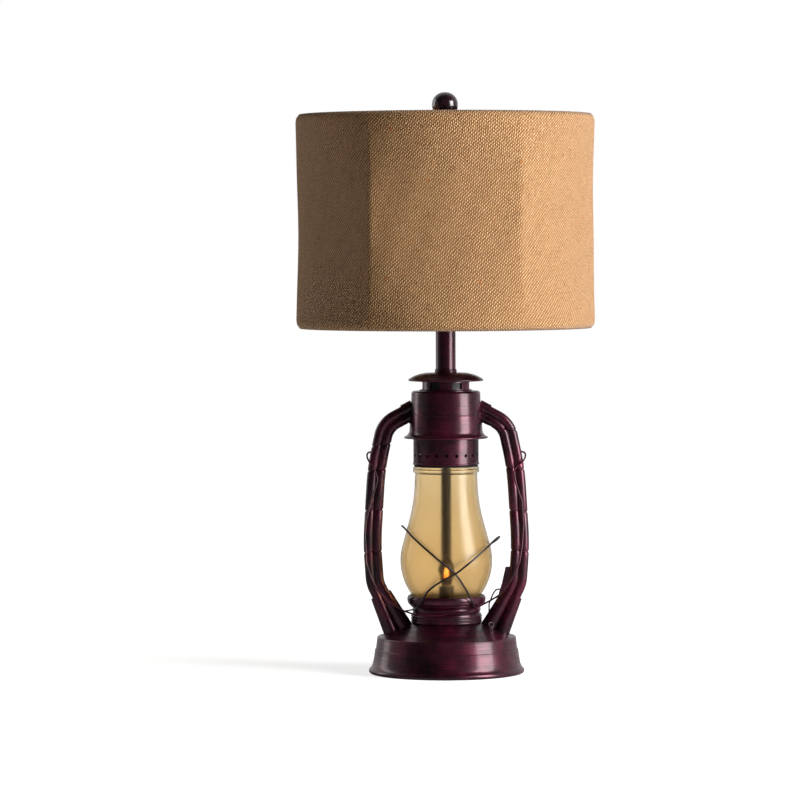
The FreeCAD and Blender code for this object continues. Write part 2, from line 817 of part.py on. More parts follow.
cut_across(saddle, "XY_Plane", "saddle_hole", [(0, 0, pipe_radius + fit_gap)],
           saddle_top * 2.2, True)

# The harp: one bent wire, with a flat disc at its top that the shade rests on.
foot_x = saddle_reach.value
wide_x = harp_width.value
leg_low = harp_bottom.value
leg_bend = leg_low + harp_straight.value
peak = harp_top.value
mid_z = leg_bend + 0.42 * (peak - leg_bend)
harp_side = [
    (foot_x, 0, leg_low),
    (foot_x, 0, leg_bend),
    (wide_x - 4, 0, leg_bend + 0.2 * (peak - leg_bend)),
    (wide_x, 0, mid_z),
    (wide_x - 9, 0, peak - 30),
    (26, 0, peak),
]
harp_points = harp_side + [(-x, y, z) for x, y, z in reversed(harp_side)]
harp_shape = rod(harp_points, harp_wire.value, 26.0)
disc = Part.makeCylinder(8.5, harp_wire.value, V(0, 0, peak))
whole("harp", harp_shape.fuse(disc).removeSplitter())
turned("harp_stud", [
    (0, harp_top + harp_wire),
    (stud_radius, harp_top + harp_wire),
    (stud_radius, harp_top + harp_wire + stud_height - 0.8),
    (stud_radius - 0.8, harp_top + harp_wire + stud_height),
    (0, harp_top + harp_wire + stud_height),
])

# The two sleeves that lock the harp's legs to the prongs; each slides up its leg.
sleeve_bottom = saddle_bottom + 6.05
for name, side in (("harp_sleeve_left", -1), ("harp_sleeve_right", 1)):
    sleeve = turned(name, [
        (harp_wire + run_gap, sleeve_bottom),
        (harp_wire + run_gap + sleeve_wall, sleeve_bottom, 0.2),
        (harp_wire + run_gap + sleeve_wall, sleeve_bottom + sleeve_height),
        (harp_wire + run_gap, sleeve_bottom + sleeve_height),
    ])
    sleeve.setExpression("Placement.Base.x", (saddle_reach * side).text)

# ---------------------------------------------------------------- lamp socket and bulb
turned("socket_cap", [
    (pipe_radius + fit_gap, socket_bottom),
    (pipe_radius + 4.0, socket_bottom),
    (pipe_radius + 4.5, socket_bottom + 3.0, 0.8),
    (socket_radius + 0.9, socket_shell_bottom - 4.0, 0.3),
    (socket_radius + 0.9, socket_shell_bottom),
    (socket_radius - sheet_wall - 0.4, socket_shell_bottom),
    (socket_radius - sheet_wall - 0.4, socket_shell_bottom - 3.6),
    (pipe_radius + 3.0, socket_bottom + 4.2),
    (pipe_radius + fit_gap, socket_bottom + 4.2),
])
shell = turned("socket_shell", [
    (socket_radius - sheet_wall, socket_shell_bottom),
    (socket_radius, socket_shell_bottom),
    (socket_radius, socket_top - 3.0, 0.3),
    (socket_radius + 1.0, socket_top - 1.4, 0.4),
    (socket_radius, socket_top),
    (socket_radius - sheet_wall, socket_top),
])
knob_z = socket_shell_bottom + 11.0
stem_hole = knob_stem + run_gap
cut_across(shell, "XZ_Plane", "stem_hole", [(0, knob_z, stem_hole)],
           socket_radius * 1.5, False, False)
liner_outer = socket_radius - sheet_wall - fit_gap
liner = turned("socket_liner", [
    (0, socket_shell_bottom),
    (liner_outer, socket_shell_bottom),
    (liner_outer, socket_top - 2.0),
    (liner_outer - 1.4, socket_top - 2.0),
    (liner_outer - 1.4, socket_shell_bottom + 21.0),
    (0, socket_shell_bottom + 21.0),
])
cut_across(liner, "XZ_Plane", "liner_stem_hole", [(0, knob_z, stem_hole)],
           socket_radius * 1.5, False, False)

# The turn switch: a ribbed knob on its stem, pointing to the back of the lamp.
knob_face = knob_reach + knob_length
knob = turned("switch_knob", [
    (0, -(socket_radius - 8.0) * 0.5),
    (knob_stem, -(socket_radius - 8.0) * 0.5),
    (knob_stem, knob_reach - 2.0),
    (knob_radius - 2.5, knob_reach, 0.3),
    (knob_radius, knob_reach + 3.0, 0.3),
    (knob_radius - 1.0, knob_face - 1.5, 0.5),
    (knob_radius - 3.0, knob_face),
    (0, knob_face),
])
knob.Placement.Rotation = FreeCAD.Rotation(ALONG_X, -90)
knob.setExpression("Placement.Base.y", socket_radius.text)
knob.setExpression("Placement.Base.z", knob_z.text)

bulb_seat = socket_shell_bottom + 21.2
glass_foot = socket_top + 2.0
turned("bulb_base", [
    (0, bulb_seat),
    (bulb_neck - 6.0, bulb_seat),
    (bulb_neck - 0.4, bulb_seat + 3.4),
    (bulb_neck - 0.4, glass_foot),
    (0, glass_foot),
])
turned("main_bulb", [
    (0, glass_foot),
    (bulb_neck, glass_foot),
    (bulb_neck + 1.0, glass_foot + bulb_length * 0.14, -1.6),
    (bulb_radius, glass_foot + bulb_length * 0.63, 4.5),
    (bulb_radius * 0.68, glass_foot + bulb_length * 0.91, 2.2),
    (1.5, glass_foot + bulb_length),
    (0, glass_foot + bulb_length),
])

# ---------------------------------------------------------------- shade
# Two wire rings and six upright wires, with burlap pulled round them. Away from the
# rings the cloth pulls nearly flat from wire to wire, and the wires bow in a little.
cloth_inner = shade_radius - shade_cloth
wire_line = cloth_inner - frame_wire - body_gap
ring_low = shade_bottom + hem + frame_wire
ring_high = shade_top - hem - frame_wire


def frame_ring(label, height):
    """A round wire ring of the shade's frame."""
    torus = doc.addObject("Part::Torus", label)
    torus.Label = label
    torus.setExpression("Radius1", wire_line.text)
    torus.setExpression("Radius2", frame_wire.text)
    torus.setExpression("Placement.Base.z", height.text)
    pieces.append(torus)
    return torus


frame_ring("shade_ring_top", ring_high)
frame_ring("shade_ring_bottom", ring_low)

rib_low = ring_low.value + frame_wire.value + fit_gap.value
rib_high = ring_high.value - frame_wire.value - fit_gap.value
rib_bend = shade_height.value * 0.35
rib_points = [
    (wire_line.value, 0, rib_low),
    (wire_line.value - shade_waist.value, 0, rib_low + rib_bend),
    (wire_line.value - shade_waist.value, 0, rib_high - rib_bend),
    (wire_line.value, 0, rib_high),
]
one_rib = rod(rib_points, frame_wire.value, 2000.0)
rib_angles = [360.0 / rib_count * i for i in range(rib_count)]
ribs = []
for angle in rib_angles:
    rib = one_rib.copy()
    rib.rotate(V(0, 0, 0), UP, angle)
    ribs.append(rib)
whole("shade_ribs", Part.makeCompound(ribs))


def cloth_section(radius, sag, height):
    """One level of the cloth: an arc from wire to wire, flatter as sag nears 1."""
    step = math.radians(360.0 / rib_count)
    middle_reach = radius * (1.0 - sag * (1.0 - math.cos(step / 2.0)))
    edges = []
    for angle in rib_angles:
        start = math.radians(angle)
        spots = []
        for turn, reach_out in ((0, radius), (step / 2.0, middle_reach), (step, radius)):
            spots.append(V(reach_out * math.cos(start + turn),
                           reach_out * math.sin(start + turn), height))
        edges.append(Part.Arc(*spots).toShape())
    return Part.Wire(edges)


def cloth_form(outer, low, high):
    """The closed form inside the cloth's surface, lofted from level to level."""
    flat = 0.035
    levels = (0.0, flat, 0.1, 0.2, 0.35, 0.5, 0.65, 0.8, 0.9, 1.0 - flat, 1.0)
    wires = []
    for level in levels:
        inside = min(max((level - flat) / (1.0 - 2.0 * flat), 0.0), 1.0)
        sag = shade_sag.value * math.sin(math.pi * inside) ** 0.9
        bow = shade_waist.value * math.sin(math.pi * level)
        wires.append(cloth_section(outer - bow, sag, low + (high - low) * level))
    return Part.makeLoft(wires, True, False)


cloth_low = shade_bottom.value
cloth_high = shade_top.value
cloth = cloth_form(shade_radius.value, cloth_low, cloth_high)
hollow = cloth_form(cloth_inner.value, cloth_low, cloth_high)
whole("shade_cover", cloth.cut(hollow))

# The fitter: three arms from the top ring, stepping down to a flat hub on the harp.
hub_z = fitter_bottom.value + spider_plate.value / 2.0
arm_wire = 1.6
arm_end = wire_line.value - frame_wire.value - fit_gap.value
arm_points = [
    (spider_hub.value - 2.0, 0, hub_z + 1.1),
    (arm_end - 17.0, 0, hub_z + 1.1),
    (arm_end - 11.0, 0, ring_high.value),
    (arm_end, 0, ring_high.value),
]
one_arm = rod(arm_points, arm_wire, 9.0)
hub = Part.makeCylinder(spider_hub.value, spider_plate.value,
                        V(0, 0, fitter_bottom.value))
for i in range(3):
    arm = one_arm.copy()
    arm.rotate(V(0, 0, 0), UP, 90.0 + 120.0 * i)
    hub = hub.fuse(arm)
keep_clear = Part.makeCylinder(spider_hub.value + 1.0, 8.0,
                               V(0, 0, fitter_bottom.value - 8.0))
hub = hub.cut(keep_clear)
keep_clear.translate(V(0, 0, 8.0 + spider_plate.value))
hub = hub.cut(keep_clear)
hub_bore = Part.makeCylinder(stud_radius.value + run_gap.value, 20.0,
                             V(0, 0, fitter_bottom.value - 10.0))
whole("shade_spider", hub.cut(hub_bore).removeSplitter())

# The finial: a turned base and neck under a glossy ball, screwed on the harp's stud.
finial_bottom = fitter_top + run_gap
ball_centre = fitter_top + finial_lift
stud_tip = harp_top + harp_wire + stud_height
ball_joint = finial_ball * 0.8805     # the neck meets the ball below its centre
finial_bore = stud_radius + run_gap
turned("finial", [
    (finial_bore, finial_bottom),
    (finial_neck + 2.6, finial_bottom, 0.7),
    (finial_neck + 1.6, finial_bottom + 3.0),
    (finial_neck - 1.0, finial_bottom + 4.6, -0.8),
    (finial_ball * 0.474, ball_centre - ball_joint, finial_ball * 0.1415),
    (finial_ball, ball_centre, finial_ball * 0.2929),
    (1.0, ball_centre + finial_ball),
    (0, ball_centre + finial_ball),
    (0, stud_tip + 0.8),
    (finial_bore, stud_tip + 0.8),
])

# ---------------------------------------------------------------- side tubes
# Each tube is a pressed pair of lobes with a valley down its front and back. It leaves
# the drum, bends down past the globe and ends in a wider foot on the base's cone.
tube_start_z = drum_top.value - 22.6
tube_x = tube_reach.value
lobe_spread = lobe_radius * 0.806
core_spread = (lobe_radius - sheet_wall) * 0.87
foot_spread = (lobe_radius + foot_bottom_grow) * 0.9
tube_line = [
    (38.0, 0, tube_start_z),
    (tube_x - 17.0, 0, tube_start_z - 19.0),
    (tube_x - 5.6, 0, tube_start_z - 71.6),
    (tube_x, 0, cone_top.value + 96.5),
    (tube_x - 3.4, 0, cone_top.value + 48.8),
    (tube_x - 10.4, 0, cone_top.value + 34.6),
]
foot_line = [
    tube_line[-1],
    (tube_x - 34.0, 0, cone_top.value - 13.8),
]
bail_axis_z = drum_top.value - 74.7


def lobed_section(spot, way, grow, spread):
    """Two round lobes side by side, across the way the tube runs."""
    spot = V(*spot)
    aside = way.cross(V(0, 1, 0)).normalize()
    depth = V(0, 1, 0)
    radius = lobe_radius.value + grow
    valley = math.sqrt(radius ** 2 - spread ** 2)
    front = spot - depth * valley
    back = spot + depth * valley
    edges = []
    for side, start, end in ((1, front, back), (-1, back, front)):
        centre = spot + aside * (side * spread)
        tip = centre + aside * (side * radius)
        for a, b in ((start, tip), (tip, end)):
            halfway = ((a - centre).normalize() + (b - centre).normalize()).normalize()
            edges.append(Part.Arc(a, centre + halfway * radius, b).toShape())
    return Part.Wire(edges)


def direction(start, end):
    return (V(*end) - V(*start)).normalize()


def outside_of(shape, *names):
    """What is left of a shape outside other pieces: the solid furthest from the axis."""
    for name in names:
        shape = shape.cut(doc.getObject(name).Shape)
    return max(shape.Solids, key=lambda solid: abs(solid.CenterOfMass.x))


doc.recompute()
mirror_plane = (V(0, 0, 0), ALONG_X)


def both_sides(name, right_shape):
    """The right piece and its mirror image on the left."""
    whole(name + "_right", right_shape)
    whole(name + "_left", right_shape.mirror(*mirror_plane))


# the tube itself, with the small hole in its outer side that the bail hooks into
tube_path = bent_path(tube_line, (30.0, 300.0, 450.0, 55.0))
start_way = direction(tube_line[0], tube_line[1])
tube_skin = tube_path.makePipeShell(
    [lobed_section(tube_line[0], start_way, 0.0, lobe_spread.value)], True, False)
tube_core = tube_path.makePipeShell(
    [lobed_section(tube_line[0], start_way, -sheet_wall.value,
                   core_spread.value)], True, False)
pin_tip = tube_x - 4.0
pin_hole = Part.makeCylinder(bail_wire.value + run_gap.value, 40.0,
                             V(pin_tip - 1.0, 0, bail_axis_z), ALONG_X)
tube_shape = outside_of(tube_skin.cut(tube_core), "chimney_drum").cut(pin_hole)

# the flange where each tube meets the drum
flange_path = Part.Wire([Part.LineSegment(
    V(*tube_line[0]), V(*tube_line[0]) + start_way * (6.2 + tube_flange_length.value + 3.0)
).toShape()])
flange_skin = flange_path.makePipeShell(
    [lobed_section(tube_line[0], start_way, tube_flange_grow.value,
                   lobe_spread.value)], True, False)
flange_hole = flange_path.makePipeShell(
    [lobed_section(tube_line[0], start_way, fit_gap.value,
                   lobe_spread.value)], True, False)
both_sides("tube_flange", outside_of(flange_skin.cut(flange_hole), "chimney_drum"))

# the foot: it starts where the tube ends and widens down to the cone
foot_way = direction(foot_line[0], foot_line[1])
foot_skin = Part.makeLoft([
    lobed_section(foot_line[0], foot_way, foot_top_grow.value, lobe_spread.value + 0.6),
    lobed_section(foot_line[1], foot_way, foot_bottom_grow.value, foot_spread.value),
], True, True)
foot_shape = outside_of(foot_skin, "base_shell", "burner_collar")
both_sides("tube_foot", foot_shape)
tube_shape = max(tube_shape.cut(foot_skin).Solids, key=lambda solid: solid.Volume)
both_sides("side_tube", tube_shape)

# ---------------------------------------------------------------- lever parts, right side
# A short guide plate on the inner side of the right tube, and the small lever wire.
guide_low = cone_top.value + 29.0
guide_high = cone_top.value + 68.3
guide_corners = [
    V(tube_x - 18.3, -3.6, guide_high),
    V(tube_x - 22.8, -3.6, guide_high - 19.6),
    V(tube_x - 28.8, -3.6, guide_low),
    V(tube_x - 12.0, -3.6, guide_low),
    V(tube_x - 10.0, -3.6, guide_high),
]
guide = Part.Face(Part.makePolygon(guide_corners + guide_corners[:1]))
guide = guide.extrude(V(0, 7.2, 0))
room = tube_path.makePipeShell(
    [lobed_section(tube_line[0], start_way, fit_gap.value, lobe_spread.value)], True, False)
foot_room = Part.makeLoft([
    lobed_section(foot_line[0], foot_way, foot_top_grow.value + fit_gap.value,
                  lobe_spread.value + 0.6),
    lobed_section(foot_line[1], foot_way, foot_bottom_grow.value + fit_gap.value,
                  foot_spread.value),
], True, True)
guide = guide.cut(room).cut(foot_room)
guide_pieces = sorted(guide.Solids, key=lambda solid: solid.CenterOfMass.x)
whole("lever_guide", guide_pieces[0])

# the eye on the cone, and the lever wire from the foot up to the guide
lever_spot = V(tube_x - 36.6, -14.0, cone_top.value - 1.9)
whole("lever_eye", Part.makeTorus(3.2, 0.8, lever_spot, V(0.5, -1, 0.35)))
lever_points = [
    (tube_x - 38.8, -2, cone_top.value + 12.0),
    (tube_x - 38.7, -2, cone_top.value + 23.0),
    (tube_x - 33.8, -2, cone_top.value + 35.4),
    (tube_x - 29.2, -2, cone_top.value + 41.4),
    (tube_x - 23.0, -2, cone_top.value + 40.2),
]
lever = rod(lever_points, lever_wire.value, 5.0)
lever = lever.cut(foot_room).cut(doc.getObject("lever_guide").Shape)
whole("lift_lever", max(lever.Solids, key=lambda solid: solid.Volume))

# the short wire that ties the guard to the left foot
tie_points = [
    (-tube_x + 34.0, 6.0, cone_top.value + 12.4),
    (-tube_x + 42.0, 6.0, cone_top.value + 14.0),
    (-tube_x + 50.2, 6.0, cone_top.value + 15.2),
]
tie = rod(tie_points, lever_wire.value, 20.0)
tie = tie.cut(foot_room.mirror(*mirror_plane)).cut(doc.getObject("burner_collar").Shape)
whole("guard_tie", max(tie.Solids, key=lambda solid: solid.Volume))


# ---------------------------------------------------------------- guard wires
# Two springy wires wrapped round the glass. They run between the eyes under the cup.
round_things = [doc.getObject("glass_globe").Shape, cup_form]


def reach_at(height):
    """How far the glass or the cup stands from the axis at a height."""
    rings = [wire for thing in round_things for wire in thing.slice(UP, height)]
    return max(wire.BoundBox.XMax for wire in rings)


guard_bend = 45.0


def guard(label, start_angle, end_angle, run):
    """A wire from eye to eye. Each point of its run has its angle round the lamp, its
    height above the glass's foot, and how far it stands off the glass or the cup."""
    turn = 1 if run[0][0] > start_angle else -1
    level = eye_level - globe_bottom.value
    points = []
    for eye_angle, side in ((start_angle, 1), (end_angle, -1)):
        through = []
        for along in (-3.5, 2.6):
            angle = eye_angle + turn * side * math.degrees(along / eye_reach)
            through.append((angle, level, eye_reach))
        points.append(through if side == 1 else through[::-1])
    middle = []
    for angle, height, off in run:
        middle.append((angle, height, reach_at(globe_bottom.value + height) + off))
    spots = []
    for angle, height, reach_out in points[0] + middle + points[1]:
        spots.append(V(reach_out * math.cos(math.radians(angle)),
                       reach_out * math.sin(math.radians(angle)),
                       globe_bottom.value + height))
    whole(label, rod(spots, guard_wire.value, guard_bend))


# high on the left, close to the glass
guard("guard_wire_a", -45.0, -315.0, [
    (-52.0, -1.0, 3.1), (-62.0, 13.7, 5.3), (-78.5, 35.7, 2.9), (-96.0, 49.7, 2.8),
    (-115.0, 64.7, 3.5), (-137.0, 78.7, 5.3), (-160.0, 89.3, 6.9), (-180.0, 90.9, 7.9),
    (-198.0, 86.7, 6.3), (-222.0, 74.7, 4.5), (-245.0, 58.7, 3.1), (-263.0, 38.7, 2.9),
    (-282.0, 20.7, 4.3), (-300.0, 4.7, 3.9), (-308.0, -1.0, 3.1),
])
# high on the right, standing off the glass and over the first wire
guard("guard_wire_b", -135.0, 135.0, [
    (-128.0, -1.0, 3.3), (-113.0, 15.7, 7.5), (-93.0, 28.7, 6.9), (-79.0, 35.7, 6.0),
    (-60.0, 50.7, 5.8), (-38.4, 64.7, 7.5), (-17.0, 75.2, 11.9), (-3.5, 77.7, 15.5),
    (9.0, 72.7, 11.9), (24.0, 66.7, 7.9), (46.0, 55.7, 5.5), (70.0, 41.7, 5.9),
    (90.0, 29.7, 7.1), (111.0, 12.7, 7.5), (127.0, -1.0, 3.5),
])


# ---------------------------------------------------------------- bail
# A hand-bent wire. Its two ends hook into holes in the tubes' outer sides, cross the
# tubes' fronts in a small zigzag and hang down in front of the collar. Each point has
# its distance to the side, its distance below the ends, and how far it bows forward.
bail_shape_right = [
    (tube_x - 4.0, 0, 0), (tube_x + 6.6, 0, 0), (tube_x + 5.8, 9.5, 4.9),
    (82.4, 21.5, 4.4), (85.0, 38.0, 2.4), (92.6, 62.0, 0.4), (94.4, 90.0, 0),
    (92.0, 119.4, 0), (89.3, 136.0, 0), (85.4, 145.5, 0), (80.0, 156.4, 0),
    (72.3, 167.7, 0), (63.2, 178.1, 0), (52.9, 184.2, 0), (41.2, 190.3, 0),
    (22.8, 197.7, 0),
]
bail_shape_left = [
    (-11.4, 202.6, 0), (-39.7, 200.6, 0), (-53.2, 195.9, 0), (-64.8, 188.9, 0),
    (-76.5, 179.3, 0), (-85.3, 168.9, 0), (-91.6, 156.1, 0), (-97.6, 137.7, 0),
    (-99.3, 101.0, 0), (-97.9, 85.1, 0), (-89.1, 52.0, 1.6), (-83.2, 34.0, 2.6),
    (-88.6, 19.0, 4.8), (-tube_x - 5.8, 7.6, 4.4), (-tube_x - 5.8, 0, 0),
    (-tube_x + 4.0, 0, 0),
]
bail_stand_off = collar_radius + collar_rib + bail_wire + body_gap
bail_lean = math.asin(bail_stand_off.value / bail_drop.value)
bail_stretch = bail_drop.value / 202.6
bail_points = []
for x, below, bow in bail_shape_right + bail_shape_left:
    along = below * bail_stretch
    bail_points.append((x, -along * math.sin(bail_lean) - bow,
                        bail_axis_z - along * math.cos(bail_lean)))
whole("bail_handle", rod(bail_points, bail_wire.value, 12.0))

# ---------------------------------------------------------------- check and write
doc.recompute()
os.makedirs("parts", exist_ok=True)
for thing in doc.Objects:
    if "Invalid" in thing.State or "Error" in thing.State:
        raise ValueError(f"{thing.Name} failed: {thing.State}")
for piece in pieces:
    if piece.Shape.isNull() or not piece.Shape.isValid():
        raise ValueError(f"{piece.Label} has no valid shape")
    if piece.Shape.Volume <= 0:
        raise ValueError(f"{piece.Label} has no volume")
for piece in pieces:
    piece.Shape.exportStep(f"parts/{piece.Label}.step")
print(f"{len(pieces)} pieces written")
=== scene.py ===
"""A table lamp in the shape of a hurricane lantern, dressed for a studio picture.

Metres, +Z up, the front towards -Y. The sections follow the lamp as it is put together.
"""
import math

import bmesh
import bpy
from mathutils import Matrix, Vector


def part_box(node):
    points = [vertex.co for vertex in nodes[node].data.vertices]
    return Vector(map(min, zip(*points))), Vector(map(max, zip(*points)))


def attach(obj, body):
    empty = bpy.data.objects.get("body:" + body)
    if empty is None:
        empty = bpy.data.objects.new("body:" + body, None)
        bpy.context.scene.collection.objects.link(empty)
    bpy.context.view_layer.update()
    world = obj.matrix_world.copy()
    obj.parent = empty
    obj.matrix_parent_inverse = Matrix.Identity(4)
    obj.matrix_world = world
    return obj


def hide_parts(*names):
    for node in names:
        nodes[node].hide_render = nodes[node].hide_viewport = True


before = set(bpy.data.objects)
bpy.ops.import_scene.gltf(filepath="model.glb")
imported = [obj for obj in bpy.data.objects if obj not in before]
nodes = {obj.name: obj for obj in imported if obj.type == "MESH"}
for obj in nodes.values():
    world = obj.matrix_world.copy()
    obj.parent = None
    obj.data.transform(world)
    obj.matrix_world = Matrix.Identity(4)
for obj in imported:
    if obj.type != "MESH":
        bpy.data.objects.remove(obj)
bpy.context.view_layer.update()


# ------------------------------------------------------------------ painted base
# A stamped steel shell in steps: rolled rim, flared skirt, two bands and a shallow cone.
# It is painted dark oxblood, rubbed back to near black by hand, and then lacquered.
def add_node(tree, kind, *links, **settings):
    """Add a node to a tree. Its links are (input, value or output) pairs."""
    made = tree.nodes.new(kind)
    for name, value in settings.items():
        setattr(made, name, value)
    for socket, value in links:
        if isinstance(value, bpy.types.NodeSocket):
            tree.links.new(value, made.inputs[socket])
        else:
            made.inputs[socket].default_value = value
    return made


class Finish:
    """A finish that is built up node by node."""

    def __init__(self, name, **sockets):
        self.material = bpy.data.materials.new(name)
        self.material.use_nodes = True
        self.tree = self.material.node_tree
        self.shader = self.tree.nodes["Principled BSDF"]
        for socket, value in sockets.items():
            self.shader.inputs[socket.replace("_", " ")].default_value = value

    def node(self, kind, *links, **settings):
        return add_node(self.tree, kind, *links, **settings)

    def drive(self, socket, output):
        self.tree.links.new(output, self.shader.inputs[socket])

    def place(self, stretch=(1.0, 1.0, 1.0), kind="Object"):
        """Places on the piece in metres, stretched per axis."""
        spot = self.node("ShaderNodeTexCoord")
        return self.node("ShaderNodeMapping", ("Vector", spot.outputs[kind]),
                         ("Scale", stretch)).outputs[0]

    def noise(self, where, scale, detail=4.0, rough=0.55):
        return self.node("ShaderNodeTexNoise", ("Vector", where), ("Scale", scale),
                         ("Detail", detail), ("Roughness", rough)).outputs["Fac"]

    def ramp(self, value, *stops):
        """Turn a value into a colour, or a grey, by (place, colour) stops."""
        made = self.node("ShaderNodeValToRGB", ("Fac", value))
        ends = made.color_ramp.elements
        while len(ends) < len(stops):
            ends.new(0.5)
        for end, (spot, colour) in zip(ends, stops):
            end.position = spot
            end.color = (*colour, 1.0) if isinstance(colour, tuple) else (colour,) * 3 + (1.0,)
        return made.outputs["Color"]

    def mix(self, share, first, second, how="MIX"):
        """Mix two colours, the second one a plain colour or an output too."""
        second = (*second, 1.0) if isinstance(second, tuple) else second
        return self.node("ShaderNodeMix", (0, share), (6, first), (7, second),
                         data_type="RGBA", blend_type=how).outputs[2]

    def maths(self, how, first, second=0.0):
        return self.node("ShaderNodeMath", (0, first), (1, second), operation=how).outputs[0]

    def bump(self, height, deep, strength=1.0):
        """Raise the surface by up to deep metres where height is 1."""
        made = self.node("ShaderNodeBump", ("Height", height), ("Distance", deep),
                         ("Strength", strength))
        self.drive("Normal", made.outputs[0])


OXBLOOD = (0.072, 0.0075, 0.024)
OXBLOOD_BRIGHT = (0.165, 0.016, 0.050)
RUBBED_BLACK = (0.0075, 0.0035, 0.0070)


def oxblood_paint(name, streaks):
    """Oxblood paint rubbed back to black, with fine rubbing streaks one way."""
    paint = Finish(name, Metallic=0.5, Coat_Weight=0.28, Coat_Roughness=0.14,
                   Specular_IOR_Level=0.4)
    blotches = paint.noise(paint.place(), 26.0, 6.0, 0.62)
    patina = paint.ramp(blotches, (0.34, RUBBED_BLACK), (0.54, OXBLOOD),
                        (0.72, OXBLOOD_BRIGHT))
    rubbing = paint.noise(paint.place(streaks), 1.0, 5.0, 0.6)
    dark_lines = paint.ramp(rubbing, (0.30, 0.25), (0.62, 1.0))
    paint.drive("Base Color", paint.mix(0.75, patina, dark_lines, "MULTIPLY"))
    paint.drive("Roughness", paint.ramp(rubbing, (0.25, 0.42), (0.75, 0.22)))
    grain = paint.noise(paint.place(), 900.0, 2.0)
    paint.bump(paint.maths("ADD", grain, paint.maths("MULTIPLY", rubbing, 1.6)), 0.00005, 0.6)
    return paint.material


turned_paint = oxblood_paint("oxblood_turned", (9.0, 9.0, 700.0))
drawn_paint = oxblood_paint("oxblood_drawn", (420.0, 420.0, 14.0))


def dress(material, *names):
    """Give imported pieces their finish."""
    for name in names:
        for place in nodes[name].material_slots:
            place.material = material


dress(turned_paint, "base_shell")

black_rubber = Finish("black_rubber", Roughness=0.62)
rubber_dust = black_rubber.noise(black_rubber.place(), 700.0)
black_rubber.drive("Base Color", black_rubber.ramp(
    rubber_dust, (0.3, (0.012, 0.012, 0.012)), (0.8, (0.03, 0.028, 0.027))))
black_rubber.bump(rubber_dust, 0.00006)
dress(black_rubber.material, "cord_bushing")

# ------------------------------------------------------------------ underside
# Felt glued to a zinc-plated plate, with a cast ring on top of it for weight. The pipe
# through the lamp is clamped in the plate's recess by a nut.
felt = Finish("black_felt", Roughness=0.95, Sheen_Weight=0.5, Sheen_Roughness=0.6)
fibres = felt.noise(felt.place(), 1600.0, 5.0, 0.8)
felt.drive("Base Color", felt.ramp(fibres, (0.3, (0.006, 0.006, 0.006)),
                                   (0.8, (0.032, 0.030, 0.030))))
felt.bump(fibres, 0.0004)
dress(felt.material, "felt_pad")


def plated_steel(name, colour, streaks):
    """Bright plating over drawn or turned steel, with fine lines one way."""
    steel = Finish(name, Metallic=1.0)
    lines = steel.noise(steel.place(streaks), 1.0, 4.0)
    darker = tuple(c * 0.62 for c in colour)
    steel.drive("Base Color", steel.ramp(lines, (0.3, darker), (0.7, colour)))
    steel.drive("Roughness", steel.ramp(lines, (0.3, 0.44), (0.7, 0.26)))
    steel.bump(lines, 0.00003)
    return steel.material


zinc = plated_steel("zinc_plate", (0.52, 0.53, 0.55), (60.0, 60.0, 900.0))
dress(zinc, "base_plate", "pipe_nut")

iron = Finish("cast_iron", Metallic=0.7, Roughness=0.75)
sand = iron.noise(iron.place(), 420.0, 6.0, 0.7)
iron.drive("Base Color", iron.ramp(sand, (0.3, (0.02, 0.02, 0.022)),
                                   (0.8, (0.07, 0.068, 0.07))))
iron.bump(sand, 0.0006)
dress(iron.material, "ballast")

# ------------------------------------------------------------------ burner and cup
# A spun collar with pressed ribs sits on the cone and carries the dished cup, whose
# rolled rim holds the foot of the glass. Wire eyes hang under the rim for the guard.
dress(turned_paint, "burner_collar", "gallery_cup")

# ------------------------------------------------------------------ amber glass
# A globe of thin amber glass, blown in a mould and a little hazy, deeper in colour
# towards its foot. It stands in the cup and its top is held by the chimney's plate.
amber = Finish("amber_glass", Transmission_Weight=1.0, IOR=1.32, Specular_IOR_Level=0.6)
haze = amber.noise(amber.place(), 30.0, 3.0)
globe_spot = amber.node("ShaderNodeSeparateXYZ", ("Vector", amber.place(kind="Generated")))
tint = amber.ramp(globe_spot.outputs["Z"], (0.05, (0.70, 0.54, 0.31)),
                  (0.45, (0.77, 0.61, 0.37)), (0.95, (0.80, 0.69, 0.49)))
amber.drive("Base Color", amber.mix(0.35, tint, amber.ramp(
    haze, (0.3, (0.72, 0.56, 0.34)), (0.7, (0.84, 0.72, 0.50)))))
amber.drive("Roughness", amber.ramp(haze, (0.3, 0.20), (0.7, 0.26)))
dress(amber.material, "glass_globe")

# ------------------------------------------------------------------ night light
# A small lit bulb in a black moulded holder, set in front of the blackened pipe on a
# steel strap. The glow inside it is shaped like a small flame.
black_oxide = plated_steel("black_oxide", (0.035, 0.031, 0.029), (300.0, 300.0, 60.0))
dress(black_oxide, "centre_pipe", "night_light_bracket")
holder = Finish("black_phenolic", Roughness=0.32)
marbling = holder.noise(holder.place(), 160.0, 5.0)
holder.drive("Base Color", holder.ramp(marbling, (0.3, (0.008, 0.007, 0.007)),
                                       (0.8, (0.03, 0.024, 0.022))))
holder.bump(marbling, 0.00005)
dress(holder.material, "night_light_socket", "switch_knob")

brass = plated_steel("aged_brass", (0.60, 0.42, 0.17), (50.0, 50.0, 800.0))
dress(brass, "night_light_base", "bulb_base", "socket_cap", "socket_shell")

lit_glass = Finish("lit_glass", Transmission_Weight=1.0, IOR=1.2, Roughness=0.05)
swirl = lit_glass.noise(lit_glass.place(), 90.0, 2.0)
lit_glass.drive("Base Color", lit_glass.ramp(swirl, (0.3, (0.96, 0.82, 0.56)),
                                             (0.7, (1.0, 0.90, 0.70))))
dress(lit_glass.material, "night_light_bulb")

